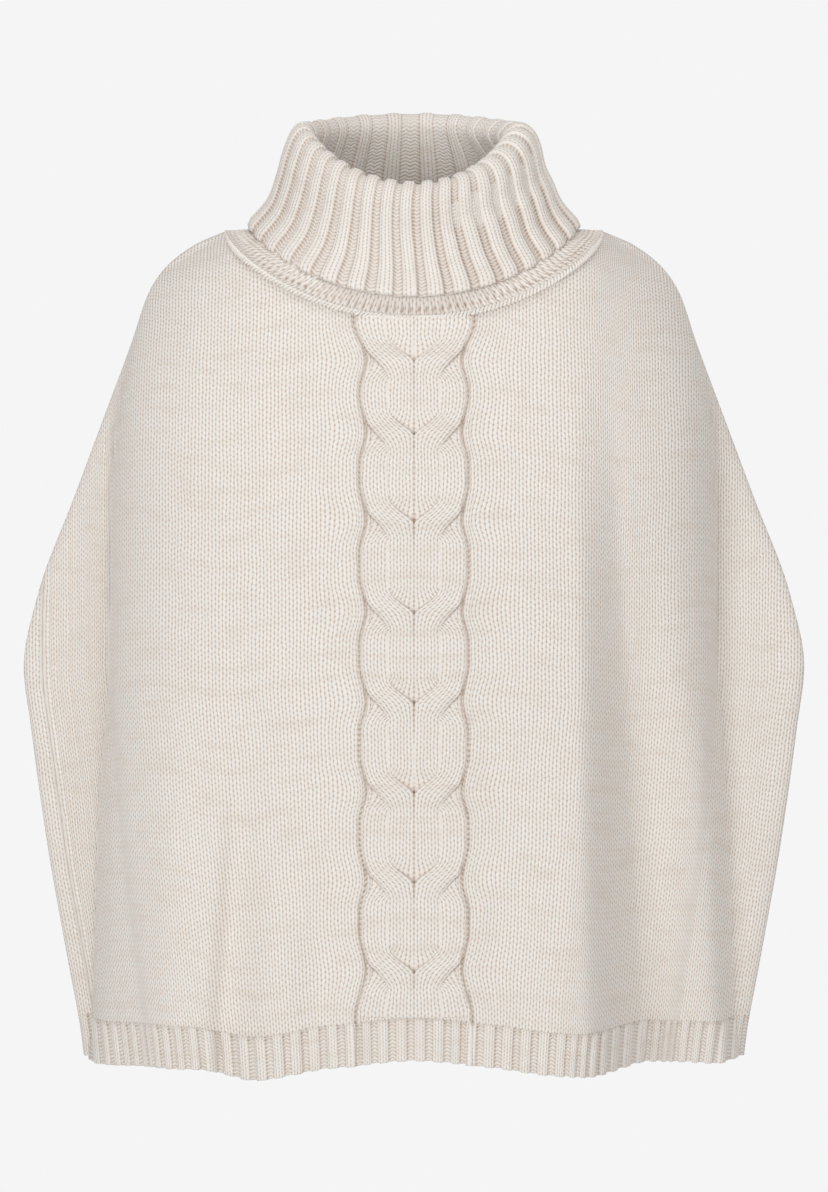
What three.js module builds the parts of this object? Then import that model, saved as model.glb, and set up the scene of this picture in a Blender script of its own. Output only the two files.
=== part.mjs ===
// A knitted poncho sweater, filled out as it is worn, with no wearer in it.
// Millimetres, +Z up. The front faces -Y and the wearer's left arm is on the +X side.
// The origin is the middle of the neck at the height of the shoulders, where the wearer holds it up.
// Each piece is a knitted wall with the form of the worn garment, open at the neck and at the hem.
import * as THREE from "three";

// Driving dimensions.
const WALL = { panel: 3.2, neckband: 3.6, collar: 4.4, hem: 4.2 };
const SEAM_GAP = 0.3;
const NECK = { half: 150, frontDrop: 71, backDrop: 16, curve: 1.5, steps: 12 };
const WING = { half: 312.4, tipZ: -347, thickness: 12, bluntness: 20 };
const HEM_HEIGHT = 33;
const CABLE = { half: 40.5, rise: 3, cord: 3.5 };
const CREAM = 0xe9e1d6;

// The outline from the front: half the width at each height, down the overarm seam to the wing tip
// and then down the closed side to the hem.
const OUTLINE = [
  { z: 0, half: 150 },
  { z: -11, half: 175 },
  { z: -30, half: 199 },
  { z: -50, half: 212 },
  { z: -88, half: 225 },
  { z: -136, half: 243 },
  { z: -213, half: 272 },
  { z: -290, half: 301 },
  { z: -347, half: 312.4 },
  { z: -395, half: 307 },
  { z: -491, half: 294 },
  { z: -587, half: 277.5 },
  { z: -640, half: 268 },
  { z: -661, half: 265.5 },
];

// The lower edge at each share of the half width. The front hangs lower either side of the middle.
const HEM_LINE = {
  front: [
    { across: -1, z: -661 },
    { across: -0.9, z: -655 },
    { across: -0.75, z: -650.5 },
    { across: -0.63, z: -650.5 },
    { across: -0.55, z: -656 },
    { across: -0.48, z: -658 },
    { across: -0.37, z: -653.5 },
    { across: -0.2, z: -646.5 },
    { across: 0, z: -641.5 },
    { across: 0.2, z: -646 },
    { across: 0.4, z: -653.5 },
    { across: 0.55, z: -656 },
    { across: 0.66, z: -658 },
    { across: 0.8, z: -658 },
    { across: 0.91, z: -660 },
    { across: 1, z: -661 },
  ],
  back: [
    { across: -1, z: -661 },
    { across: -0.7, z: -651 },
    { across: -0.42, z: -649 },
    { across: -0.2, z: -641 },
    { across: 0, z: -638 },
    { across: 0.3, z: -644 },
    { across: 0.48, z: -649 },
    { across: 0.7, z: -650 },
    { across: 0.86, z: -655 },
    { across: 1, z: -661 },
  ],
};

// What the cloth hangs over: half the width to the outside of the arms, how far the front and the
// back stand from the plane of the side seams, and how sharply they fall away to the sides (a small
// fall is blunt). A loose wing hangs outside this width.
const BODY = [
  { z: 0, half: 150, front: 99, back: 84, fall: 0.9 },
  { z: -40, half: 206, front: 105, back: 98, fall: 0.78 },
  { z: -71, half: 219, front: 112, back: 107, fall: 0.62 },
  { z: -110, half: 230, front: 123, back: 114, fall: 0.48 },
  { z: -160, half: 237, front: 138, back: 119, fall: 0.42 },
  { z: -220, half: 241, front: 148, back: 122, fall: 0.42 },
  { z: -350, half: 243, front: 150, back: 119, fall: 0.4 },
  { z: -440, half: 250, front: 148, back: 120, fall: 0.38 },
  { z: -530, half: 254, front: 149, back: 123, fall: 0.37 },
  { z: -620, half: 257, front: 152, back: 128, fall: 0.36 },
  { z: -661, half: 260, front: 154, back: 130, fall: 0.36 },
];

const BODY_BLUNTNESS = 2.8;

// Down one side of the front a long fold grows, where the cloth drops to a flatter shelf: where the
// foot of the drop is, how wide the drop is, how far out the shelf stands, and how much more gently
// than the other side it falls away.
const SHELF = [
  { z: -110, foot: 152, drop: 30, out: 126, gentle: 0 },
  { z: -160, foot: 154, drop: 32, out: 126, gentle: 0.02 },
  { z: -300, foot: 163, drop: 38, out: 92, gentle: 0.14 },
  { z: -450, foot: 171, drop: 44, out: 66, gentle: 0.24 },
  { z: -661, foot: 181, drop: 50, out: 52, gentle: 0.3 },
];

// Soft folds: the place and height of the top, a bend and the end of each, its width to the left
// and right, and how far it stands out of the panel (rise above 0) or falls into it (rise below 0)
// once it has grown over a share of its length.
const fold = (line, left, right, rise, grown) => ({ line: line.map(([x, z]) => ({ x, z })), left, right, rise, grown });
const FOLDS = {
  front: [
    fold([[-130, -300], [-138, -480], [-150, -661]], 10, 24, -15, 0.75),
    fold([[-184, -340], [-190, -520], [-188, -661]], 24, 22, 8, 0.5),
    fold([[-112, -480], [-108, -560], [-112, -661]], 17, 17, 5, 0.5),
    fold([[-70, -470], [-72, -560], [-74, -661]], 15, 15, -5, 0.6),
    fold([[178, -200], [182, -430], [190, -661]], 9, 13, -3, 0.6),
    fold([[116, -360], [119, -500], [130, -661]], 28, 24, 3, 0.5),
    fold([[-226, -95], [-242, -340], [-252, -661]], 7, 6, -4, 0.2),
    fold([[220, -90], [240, -340], [252, -661]], 7, 9, -3.5, 0.2),
    fold([[-275, -300], [-268, -420], [-266, -600]], 14, 10, -3, 0.4),
  ],
  back: [
    fold([[-88, -200], [-92, -400], [-104, -661]], 16, 28, -15, 0.6),
    fold([[-150, -300], [-158, -480], [-158, -661]], 25, 25, 9, 0.5),
    fold([[-20, -420], [-14, -540], [-14, -661]], 26, 26, 8, 0.5),
    fold([[74, -240], [80, -420], [96, -661]], 24, 16, -14, 0.6),
    fold([[150, -330], [160, -480], [165, -661]], 25, 25, 9, 0.5),
    fold([[205, -420], [210, -540], [214, -661]], 15, 15, -8, 0.5),
    fold([[-228, -95], [-244, -340], [-254, -661]], 7, 7, -5, 0.2),
    fold([[226, -95], [243, -340], [256, -661]], 7, 7, -5, 0.2),
  ],
};

// The folded collar along the middle of its wall, from its base, up inside, over the fold and down
// outside to the cast-off edge: half its width, its reach to front and back, and its height there.
// The fold is thicker by the roll on one side of the neck.
const COLLAR = [
  { half: 123, front: 100, back: 84, frontZ: -46, sideZ: -2, backZ: 4, roll: 0 },
  { half: 108, front: 94, back: 80, frontZ: -22, sideZ: 20, backZ: 30, roll: 0 },
  { half: 94, front: 86, back: 76, frontZ: 2, sideZ: 48, backZ: 60, roll: 1.4 },
  { half: 83, front: 77, back: 72, frontZ: 21, sideZ: 71, backZ: 84, roll: 9 },
  { half: 83.5, front: 80, back: 75, frontZ: 29, sideZ: 79.5, backZ: 93, roll: 7.5 },
  { half: 88.5, front: 88, back: 81, frontZ: 33, sideZ: 84, backZ: 96, roll: 4.9 },
  { half: 95, front: 97, back: 88, frontZ: 29, sideZ: 79, backZ: 91, roll: 2.1 },
  { half: 101.5, front: 103, back: 96, frontZ: 15, sideZ: 64, backZ: 77, roll: 0 },
  { half: 107, front: 101.5, back: 101, frontZ: -6, sideZ: 44, backZ: 56, roll: 0 },
  { half: 114.5, front: 104, back: 105, frontZ: -29, sideZ: 24, backZ: 30, roll: 0 },
  { half: 131, front: 117, back: 113, frontZ: -53, sideZ: 5, backZ: 6, roll: 0 },
];

// Where the rows of a panel lie, from its top edge (0) to its bottom edge (1), and where the
// columns between the neck (0) and the edge of the wing (1) lie. Both are close where cloth turns.
const PANEL_ROWS = [0, 0.008, 0.025, 0.055, 0.1, 0.16, 0.23, 0.31, 0.39, 0.47, 0.55, 0.63, 0.71, 0.79, 0.87, 0.94, 1];
const HEM_ROWS = [0, 0.5, 1];
const WING_COLUMNS = [0.14, 0.22, 0.3, 0.38, 0.46, 0.54, 0.62, 0.76, 0.87, 0.94, 0.975, 1];

// ---- Curves ----

// A smooth value from one column of a table, at a place along another column whose values rise or
// fall all the way. It doesn't overshoot between rows.
function along(table, key, column, place) {
  const last = table.length - 2;
  const way = Math.sign(table[1][key] - table[0][key]);
  const run = (k) => (table[k][key] - table[0][key]) * way;
  const at = (place - table[0][key]) * way;
  let i = table.findIndex((_, k) => k > 0 && at <= run(k)) - 1;
  if (i < 0) i = at <= 0 ? 0 : last;
  const step = (k) => (table[k + 1][column] - table[k][column]) / (run(k + 1) - run(k));
  const slope = (k) => {
    if (k === 0) return step(0);
    if (k > last) return step(last);
    const before = step(k - 1);
    const after = step(k);
    return before * after <= 0 ? 0 : (2 * before * after) / (before + after);
  };
  const length = run(i + 1) - run(i);
  const t = THREE.MathUtils.clamp((at - run(i)) / length, 0, 1);
  const a = table[i][column];
  const b = table[i + 1][column];
  const rise = slope(i) * length * (t - 2 * t * t + t ** 3) + slope(i + 1) * length * (t ** 3 - t * t);
  return a + (b - a) * (3 * t * t - 2 * t ** 3) + rise;
}

const down = (table, column, z) => along(table, "z", column, z);

// Height of the overarm seam at a distance x from the middle.
function overarmZ(x) {
  let high = 0;
  let low = WING.tipZ;
  for (let i = 0; i < 40; i += 1) {
    const middle = (high + low) / 2;
    if (down(OUTLINE, "half", middle) < x) high = middle;
    else low = middle;
  }
  return (high + low) / 2;
}

function topZ(side, x) {
  const across = Math.abs(x) / NECK.half;
  if (across > 1) return overarmZ(Math.abs(x));
  const drop = side === "front" ? NECK.frontDrop : NECK.backDrop;
  return -drop * Math.sqrt(1 - across * across) ** NECK.curve;
}

function hemZ(side, across) {
  return along(HEM_LINE[side], "across", "z", across);
}

// Columns hang straight down above the wing tip and draw in with the sides below it.
function columnX(across, z) {
  return across * (z > WING.tipZ ? WING.half : down(OUTLINE, "half", z));
}

// ---- The form of the worn cloth ----

function foldRise(side, x, z) {
  let rise = 0;
  for (const { line, left, right, rise: most, grown } of FOLDS[side]) {
    const top = line[0].z;
    const share = (top - z) / (top - line[line.length - 1].z);
    if (share <= 0) continue;
    const off = x - down(line, "x", z);
    const across = off / (off < 0 ? left : right);
    rise += most * THREE.MathUtils.smoothstep(share, 0, grown) * Math.exp(-across * across);
  }
  return rise;
}

// The panel rises to the cable, and the cords of the cable stand out of it.
function cableRise(side, x, z) {
  if (side !== "front") return 0;
  const away = (from, to) => 1 - THREE.MathUtils.smoothstep(Math.abs(x), CABLE.half + from, CABLE.half + to);
  return (CABLE.rise * away(-12, 26) + CABLE.cord * away(-8, 6)) * THREE.MathUtils.smoothstep(-z, 64, 80);
}

// Past the long fold the cloth of the front comes no further out than the shelf.
function shelved(side, x, z, body) {
  if (side !== "front") return body;
  const flat = body / (1 + (body / down(SHELF, "out", z)) ** 8) ** (1 / 8);
  const share = THREE.MathUtils.clamp((x - down(SHELF, "foot", z)) / down(SHELF, "drop", z) + 1, 0, 1);
  return body + ((flat - body) * (share * share + THREE.MathUtils.smoothstep(share, 0, 1))) / 2;
}

// How far the outside of the cloth stands from the plane of the side seams.
function depth(side, x, z) {
  const outline = Math.min(Math.abs(x) / down(OUTLINE, "half", z), 1);
  const within = Math.min(Math.abs(x) / Math.min(down(BODY, "half", z), down(OUTLINE, "half", z)), 1);
  const gentle = side === "front" ? down(SHELF, "gentle", z) * THREE.MathUtils.smoothstep(x, 120, 200) : 0;
  const full = down(BODY, side, z) * (1 - within ** BODY_BLUNTNESS) ** (down(BODY, "fall", z) + gentle);
  const body = shelved(side, x, z, full);
  const wing = WING.thickness * Math.sqrt(1 - outline ** WING.bluntness);
  const fade = 1 - outline ** 12;
  return Math.cbrt(body ** 3 + wing ** 3) + fade * (foldRise(side, x, z) + cableRise(side, x, z));
}

// ---- Grids of points ----

// Positions of the columns across a panel, from one side edge (-1) to the other (1) in front and
// back again behind, so that they go round the body the way turns() goes round the neck.
function columns(side) {
  const list = [];
  for (let i = -NECK.steps; i <= NECK.steps; i += 1) {
    list.push((NECK.half * Math.sin((i / NECK.steps) * (Math.PI / 2))) / WING.half);
  }
  const neck = NECK.half / WING.half;
  const wing = WING_COLUMNS.map((t) => neck + (1 - neck) * t);
  const across = [...wing.map((t) => -t).reverse(), ...list, ...wing];
  return side === "front" ? across : across.reverse();
}

function panelHeights(side, across) {
  const top = topZ(side, across * WING.half);
  const bottom = hemZ(side, across) + HEM_HEIGHT;
  return PANEL_ROWS.map((t) => top + (bottom - top) * t);
}

function hemHeights(side, across) {
  const low = hemZ(side, across);
  return HEM_ROWS.map((t) => THREE.MathUtils.lerp(low + HEM_HEIGHT - SEAM_GAP, low, t));
}

// The outside of a piece as columns of points, front or back.
function outsideGrid(side, heights) {
  const sign = side === "front" ? -1 : 1;
  return columns(side).map((across) => heights(side, across).map((z) => {
    const x = columnX(across, z);
    return new THREE.Vector3(x, sign * (SEAM_GAP / 2 + depth(side, x, z)), z);
  }));
}

// The direction out of the cloth at each point. Along a side seam it stays in the seam's plane.
function outward(grid, side) {
  const sign = side === "front" ? -1 : 1;
  return grid.map((column, i) => column.map((point, j) => {
    const left = grid[Math.max(i - 1, 0)][j];
    const right = grid[Math.min(i + 1, grid.length - 1)][j];
    const above = column[Math.max(j - 1, 0)];
    const below = column[Math.min(j + 1, column.length - 1)];
    const normal = right.clone().sub(left).cross(below.clone().sub(above));
    if (normal.y * sign < 0) normal.negate();
    if (Math.abs(point.y) < SEAM_GAP) {
      const edge = i === 0 || i === grid.length - 1;
      const from = edge ? above : left;
      const to = edge ? below : right;
      normal.set(from.z - to.z, 0, to.x - from.x);
      if (normal.x * point.x < 0) normal.negate();
    }
    return normal.normalize();
  }));
}

function inside(grid, normals, wall) {
  return grid.map((column, i) => column.map((point, j) => point.clone().addScaledVector(normals[i][j], -wall)));
}

// ---- Closed solids ----

function solid(points, faces) {
  const corner = (k) => points[k];
  let volume = 0;
  for (const [a, b, c] of faces) volume += corner(a).dot(corner(b).clone().cross(corner(c)));
  const index = faces.flatMap(([a, b, c]) => (volume > 0 ? [a, b, c] : [a, c, b]));
  const geometry = new THREE.BufferGeometry();
  geometry.setAttribute("position", new THREE.Float32BufferAttribute(points.flatMap((p) => p.toArray()), 3));
  geometry.setIndex(index);
  geometry.computeVertexNormals();
  return geometry;
}

// A wall between two grids of points of the same size, closed round its four edges.
function sheetSolid(outer, inner) {
  const rows = outer[0].length;
  const last = outer.length - 1;
  const points = [...outer.flat(), ...inner.flat()];
  const out = (i, j) => i * rows + j;
  const inn = (i, j) => outer.length * rows + i * rows + j;
  const faces = [];
  const quad = (a, b, c, d) => faces.push([a, b, c], [a, c, d]);
  for (let i = 0; i < last; i += 1) {
    for (let j = 0; j < rows - 1; j += 1) {
      quad(out(i, j), out(i + 1, j), out(i + 1, j + 1), out(i, j + 1));
      quad(inn(i, j), inn(i, j + 1), inn(i + 1, j + 1), inn(i + 1, j));
    }
    quad(inn(i, 0), inn(i + 1, 0), out(i + 1, 0), out(i, 0));
    quad(out(i + 1, rows - 1), inn(i + 1, rows - 1), inn(i, rows - 1), out(i, rows - 1));
  }
  for (let j = 0; j < rows - 1; j += 1) {
    quad(out(0, j), out(0, j + 1), inn(0, j + 1), inn(0, j));
    quad(out(last, j), inn(last, j), inn(last, j + 1), out(last, j + 1));
  }
  return solid(points, faces);
}

// A ring from rings of points: each ring goes round the neck, and the rings close on themselves.
function ringSolid(loop) {
  const around = loop[0].length;
  const points = loop.flat();
  const faces = [];
  for (let k = 0; k < loop.length; k += 1) {
    const next = (k + 1) % loop.length;
    for (let i = 0; i < around; i += 1) {
      const turn = (i + 1) % around;
      const corners = [k * around + i, k * around + turn, next * around + turn, next * around + i];
      faces.push([corners[0], corners[1], corners[2]], [corners[0], corners[2], corners[3]]);
    }
  }
  return solid(points, faces);
}

// ---- Collar and neckband ----

// Angles round the neck, from the middle of the front, one for each column of the panels there.
function turns() {
  return Array.from({ length: 4 * NECK.steps }, (_, i) => (i / NECK.steps) * (Math.PI / 2));
}

function collarPoint(row, turn) {
  const ahead = Math.cos(turn);
  const end = ahead > 0 ? { reach: -row.front, z: row.frontZ } : { reach: -row.back, z: row.backZ };
  const z = row.sideZ + (end.z - row.sideZ) * Math.abs(ahead) ** NECK.curve;
  const x = row.half * Math.sin(turn) - row.roll * THREE.MathUtils.smoothstep(Math.sin(turn), 0.1, 0.9);
  return new THREE.Vector3(x, end.reach * ahead, z);
}

// The two faces of a strip of cloth: the points of its middle, moved half a wall each way across
// it. Across is square to the strip and to the way round the neck.
function faces(rings, wall) {
  const around = rings[0].length;
  const across = rings.map((ring, k) => ring.map((point, i) => {
    const along = rings[Math.min(k + 1, rings.length - 1)][i].clone().sub(rings[Math.max(k - 1, 0)][i]);
    const round = ring[(i + 1) % around].clone().sub(ring[(i + around - 1) % around]);
    return round.cross(along).normalize().multiplyScalar(wall / 2);
  }));
  return {
    outer: rings.map((ring, k) => ring.map((point, i) => point.clone().add(across[k][i]))),
    inner: rings.map((ring, k) => ring.map((point, i) => point.clone().sub(across[k][i]))),
  };
}

function collarFaces() {
  return faces(COLLAR.map((row) => turns().map((turn) => collarPoint(row, turn))), WALL.collar);
}

// The top edge of the panels round the neck, outer and inner, in the order of turns().
function neckEdge(panels) {
  const wide = WING_COLUMNS.length;
  const point = (face, i) => {
    const quarter = NECK.steps;
    if (i <= quarter) return panels.front[face][wide + quarter + i][0];
    if (i < 3 * quarter) return panels.back[face][wide + i - quarter][0];
    return panels.front[face][wide + i - 3 * quarter][0];
  };
  const ring = (face) => turns().map((_, i) => point(face, i));
  return { outer: ring("outer"), inner: ring("inner") };
}

// The neckband joins the panels to the base of the collar and stays clear of both.
function neckbandSolid(edge, collar) {
  const seamed = (from, to, i) => {
    const way = to[i].clone().sub(from[i]).normalize().multiplyScalar(SEAM_GAP);
    return from[i].clone().add(way);
  };
  const strip = (panelRing, collarRing, puff) => {
    const low = panelRing.map((_, i) => seamed(panelRing, collarRing, i));
    const high = collarRing.map((_, i) => seamed(collarRing, panelRing, i));
    const middle = low.map((point, i) => point.clone().lerp(high[i], 0.5).setZ((point.z + high[i].z) / 2 + puff));
    return [low, middle, high];
  };
  const puff = (WALL.neckband - WALL.panel) / 2;
  const outer = strip(edge.outer, collar.outer[0], puff);
  const inner = strip(edge.inner, collar.inner[0], -puff);
  return ringSolid([...outer, ...inner.reverse()]);
}

function collarSolid(collar) {
  return ringSolid([...collar.outer, ...collar.inner.slice().reverse()]);
}

// ---- The garment ----

const knit = (name, color, roughness) => new THREE.MeshStandardMaterial({ name, color, roughness, metalness: 0 });

function piece(name, geometry, material) {
  const mesh = new THREE.Mesh(geometry, material);
  mesh.name = name;
  return mesh;
}

// The two faces of a panel or a hem, which are cut level along the row where they are seamed.
function walls(side, heights, wall, seamRow) {
  const outer = outsideGrid(side, heights);
  const normals = outward(outer, side);
  for (const column of normals) column[seamRow].setZ(0).normalize();
  return { outer, inner: inside(outer, normals, wall) };
}

function poncho() {
  const garment = new THREE.Group();
  const panels = {
    front: walls("front", panelHeights, WALL.panel, PANEL_ROWS.length - 1),
    back: walls("back", panelHeights, WALL.panel, PANEL_ROWS.length - 1),
  };
  const collar = collarFaces();
  const plain = knit("stockinette", CREAM, 0.95);
  const ribbed = knit("rib", CREAM, 0.95);
  const band = knit("neckband", CREAM, 0.95);
  for (const side of ["front", "back"]) {
    const hem = walls(side, hemHeights, WALL.hem, 0);
    garment.add(piece(side, sheetSolid(panels[side].outer, panels[side].inner), plain));
    garment.add(piece(`hem_${side}`, sheetSolid(hem.outer, hem.inner), ribbed));
  }
  garment.add(piece("neckband", neckbandSolid(neckEdge(panels), collar), band));
  garment.add(piece("collar", collarSolid(collar), ribbed));
  return garment;
}

export default poncho();
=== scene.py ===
import math

import bpy
import numpy as np
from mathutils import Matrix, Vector


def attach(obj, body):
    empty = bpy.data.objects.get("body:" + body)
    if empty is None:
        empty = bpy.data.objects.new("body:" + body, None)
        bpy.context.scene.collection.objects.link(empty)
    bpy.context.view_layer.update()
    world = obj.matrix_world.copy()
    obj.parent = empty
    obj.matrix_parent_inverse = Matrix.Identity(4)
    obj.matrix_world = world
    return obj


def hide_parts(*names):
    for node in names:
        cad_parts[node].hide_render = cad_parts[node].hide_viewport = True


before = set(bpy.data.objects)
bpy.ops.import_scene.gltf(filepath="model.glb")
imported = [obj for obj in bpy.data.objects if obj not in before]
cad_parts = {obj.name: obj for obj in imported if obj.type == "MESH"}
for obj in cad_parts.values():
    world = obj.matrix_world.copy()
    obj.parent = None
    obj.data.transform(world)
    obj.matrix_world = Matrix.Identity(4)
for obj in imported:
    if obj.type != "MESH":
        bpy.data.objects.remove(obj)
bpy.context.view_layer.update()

# A knitted poncho sweater, filled out as it is worn, with no wearer in it.
# Sizes below are in millimetres in the frame's axes, and MM turns them into Blender's metres.
MM = 0.001

# ---------------------------------------------------------------- sizes of the garment

WALL = {"panel": 3.2, "neckband": 3.6, "collar": 4.4, "hem": 4.2}
WALE = 5.65  # width of one stitch
COURSE = 4.1  # height of one stitch
NECK = {"half": 150, "front_drop": 71, "back_drop": 16, "curve": 1.5}
WING = {"half": 312.4, "tip_z": -347, "thickness": 12, "bluntness": 20}
HEM_HEIGHT = 33
CABLE = {"half": 40.5, "pinch": 5.2, "rise": 3.0, "top_z": -68.0, "end_z": -608.0}
BODY_BLUNTNESS = 2.8
SEAM_GAP = 0.3


def table(columns, *rows):
    """A short table as one array for each named column."""
    return dict(zip(columns.split(), np.array(rows, float).T))


# The outline from the front: half the width at each height.
OUTLINE = table(
    "z half",
    (0, 150), (-11, 175), (-30, 199), (-50, 212), (-88, 225), (-136, 243), (-213, 272),
    (-290, 301), (-347, 312.4), (-395, 307), (-491, 294), (-587, 277.5), (-640, 268), (-661, 265.5),
)

# The lower edge at each share of the half width. The front hangs lower either side of the middle.
FRONT_HEM = table(
    "across z",
    (-1, -661), (-0.9, -655), (-0.75, -650.5), (-0.63, -650.5), (-0.55, -656), (-0.48, -658),
    (-0.37, -653.5), (-0.2, -646.5), (0, -641.5), (0.2, -646), (0.4, -653.5), (0.55, -656),
    (0.66, -658), (0.8, -658), (0.91, -660), (1, -661),
)
BACK_HEM = table(
    "across z",
    (-1, -661), (-0.7, -651), (-0.42, -649), (-0.2, -641), (0, -638), (0.3, -644), (0.48, -649),
    (0.7, -650), (0.86, -655), (1, -661),
)

# What the cloth hangs over: half the width to the outside of the arms, the reach to front and
# back, and how sharply these fall away to the sides.
BODY = table(
    "z half front back fall",
    (0, 150, 99, 84, 0.9),
    (-40, 206, 105, 98, 0.78),
    (-71, 219, 112, 107, 0.62),
    (-110, 230, 123, 114, 0.48),
    (-160, 237, 138, 119, 0.42),
    (-220, 241, 148, 122, 0.42),
    (-350, 243, 150, 119, 0.4),
    (-440, 250, 148, 120, 0.38),
    (-530, 254, 149, 123, 0.37),
    (-620, 257, 152, 128, 0.36),
    (-661, 260, 154, 130, 0.36),
)

# Down one side of the front a long fold grows, where the cloth drops to a flatter shelf: where the
# foot of the drop is, how wide the drop is, how far out the shelf stands, and how much more gently
# than the other side it falls away.
SHELF = table(
    "z foot drop out gentle",
    (-110, 152, 30, 126, 0), (-160, 154, 32, 126, 0.02), (-300, 163, 38, 92, 0.14),
    (-450, 171, 44, 66, 0.24), (-661, 181, 50, 52, 0.3),
)

# Soft folds: where each starts, bends and ends, its width to the left and right, and how far it
# stands out (rise above 0) or falls in once it has grown over a share of its length.
FOLDS = "top_x top_z middle_x middle_z end_x end_z left right rise grown"
FRONT_FOLDS = table(
    FOLDS,
    (-130, -300, -138, -480, -150, -661, 10, 24, -15, 0.75),
    (-184, -340, -190, -520, -188, -661, 24, 22, 8, 0.5),
    (-112, -480, -108, -560, -112, -661, 17, 17, 5, 0.5),
    (-70, -470, -72, -560, -74, -661, 15, 15, -5, 0.6),
    (178, -200, 182, -430, 190, -661, 9, 13, -3, 0.6),
    (116, -360, 119, -500, 130, -661, 28, 24, 3, 0.5),
    (-226, -95, -242, -340, -252, -661, 7, 6, -4, 0.2),
    (220, -90, 240, -340, 252, -661, 7, 9, -3.5, 0.2),
    (-275, -300, -268, -420, -266, -600, 14, 10, -3, 0.4),
)
BACK_FOLDS = table(
    FOLDS,
    (-88, -200, -92, -400, -104, -661, 16, 28, -15, 0.6),
    (-150, -300, -158, -480, -158, -661, 25, 25, 9, 0.5),
    (-20, -420, -14, -540, -14, -661, 26, 26, 8, 0.5),
    (74, -240, 80, -420, 96, -661, 24, 16, -14, 0.6),
    (150, -330, 160, -480, 165, -661, 25, 25, 9, 0.5),
    (205, -420, 210, -540, 214, -661, 15, 15, -8, 0.5),
    (-228, -95, -244, -340, -254, -661, 7, 7, -5, 0.2),
    (226, -95, 243, -340, 256, -661, 7, 7, -5, 0.2),
)

# The folded collar along the middle of its wall, from its base, up inside, over the fold and
# down outside to the cast-off edge. The fold is thicker by the roll on one side of the neck.
COLLAR = table(
    "half front back front_z side_z back_z roll",
    (123, 100, 84, -46, -2, 4, 0),
    (108, 94, 80, -22, 20, 30, 0),
    (94, 86, 76, 2, 48, 60, 1.4),
    (83, 77, 72, 21, 71, 84, 9),
    (83.5, 80, 75, 29, 79.5, 93, 7.5),
    (88.5, 88, 81, 33, 84, 96, 4.9),
    (95, 97, 88, 29, 79, 91, 2.1),
    (101.5, 103, 96, 15, 64, 77, 0),
    (107, 101.5, 101, -6, 44, 56, 0),
    (114.5, 104, 105, -29, 24, 30, 0),
    (131, 117, 113, -53, 5, 6, 0),
)
RIBS = {
    "collar": 30, "crowding": 0.33, "collar_knit": 0.68, "back_knit": 0.46, "collar_relief": 3.4,
    "hem_pitch": 15.8, "hem_knit": 0.64, "hem_relief": 3.0, "course": 2.9,
}

# The heights where the front strands of the cable meet in the middle.
CROSSINGS = np.array([-107, -163, -230, -300, -369, -438, -507, -576], float)
STRAND_WALES = 4
NECK_STITCHES = 132  # picked up round the neck, with one link of the chain to each
# How far above the crossing each edge of a strand sets out, and over what height it moves, for a
# strand that passes in front on its way in or behind on its way out.
STRAND_MOVES = {
    "front": {"inner": (21, 21), "outer": (14, 25)},
    "back": {"inner": (5, 17), "outer": (25, 21)},
}


# ---------------------------------------------------------------- curves


def smooth(at, xs, ys):
    """A smooth line through points whose xs rise or fall, with no overshoot between them."""
    xs, ys = np.asarray(xs, float), np.asarray(ys, float)
    if xs[0] > xs[-1]:
        xs, ys = xs[::-1], ys[::-1]
    gap = np.diff(xs)
    step = np.diff(ys) / gap
    slope = np.concatenate([step[:1], np.zeros(len(step) - 1), step[-1:]])
    product = step[:-1] * step[1:]
    total = step[:-1] + step[1:]
    same = product > 0
    slope[1:-1][same] = 2 * product[same] / total[same]
    at = np.clip(at, xs[0], xs[-1])
    i = np.clip(np.searchsorted(xs, at, side="right") - 1, 0, len(gap) - 1)
    t = (at - xs[i]) / gap[i]
    rise = slope[i] * (t - 2 * t**2 + t**3) + slope[i + 1] * (t**3 - t**2)
    return ys[i] + (ys[i + 1] - ys[i]) * (3 * t**2 - 2 * t**3) + rise * gap[i]


def ease(x, low=0.0, high=1.0):
    t = np.clip((x - low) / (high - low), 0, 1)
    return t * t * (3 - 2 * t)


def bell(x):
    return np.exp(-x * x)


def outline_half(z):
    return smooth(z, OUTLINE["z"], OUTLINE["half"])


def overarm_z(x):
    """Height of the overarm seam at a distance x from the middle."""
    heights = np.linspace(0, WING["tip_z"], 1200)
    return np.interp(x, outline_half(heights), heights)


def top_z(side, x):
    across = np.abs(x) / NECK["half"]
    drop = NECK[f"{side}_drop"]
    neck = -drop * np.sqrt(np.clip(1 - across**2, 0, 1)) ** NECK["curve"]
    return np.where(across > 1, overarm_z(np.abs(x)), neck)


def hem_z(side, across):
    line = FRONT_HEM if side == "front" else BACK_HEM
    return smooth(across, line["across"], line["z"])


def column_x(across, z):
    """Columns hang straight down above the wing tip and draw in with the sides below it."""
    return across * np.where(z > WING["tip_z"], WING["half"], outline_half(z))


# ---------------------------------------------------------------- the form of the worn cloth


def fold_rise(side, x, z):
    folds = FRONT_FOLDS if side == "front" else BACK_FOLDS
    rise = np.zeros(np.broadcast(x, z).shape)
    for k in range(len(folds["rise"])):
        row = {name: column[k] for name, column in folds.items()}
        along = (row["top_z"] - z) / (row["top_z"] - row["end_z"])
        heights = (row["top_z"], row["middle_z"], row["end_z"])
        off = x - smooth(z, heights, (row["top_x"], row["middle_x"], row["end_x"]))
        width = np.where(off < 0, row["left"], row["right"])
        rise = rise + row["rise"] * ease(along, 0, row["grown"]) * bell(off / width)
    return rise


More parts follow.
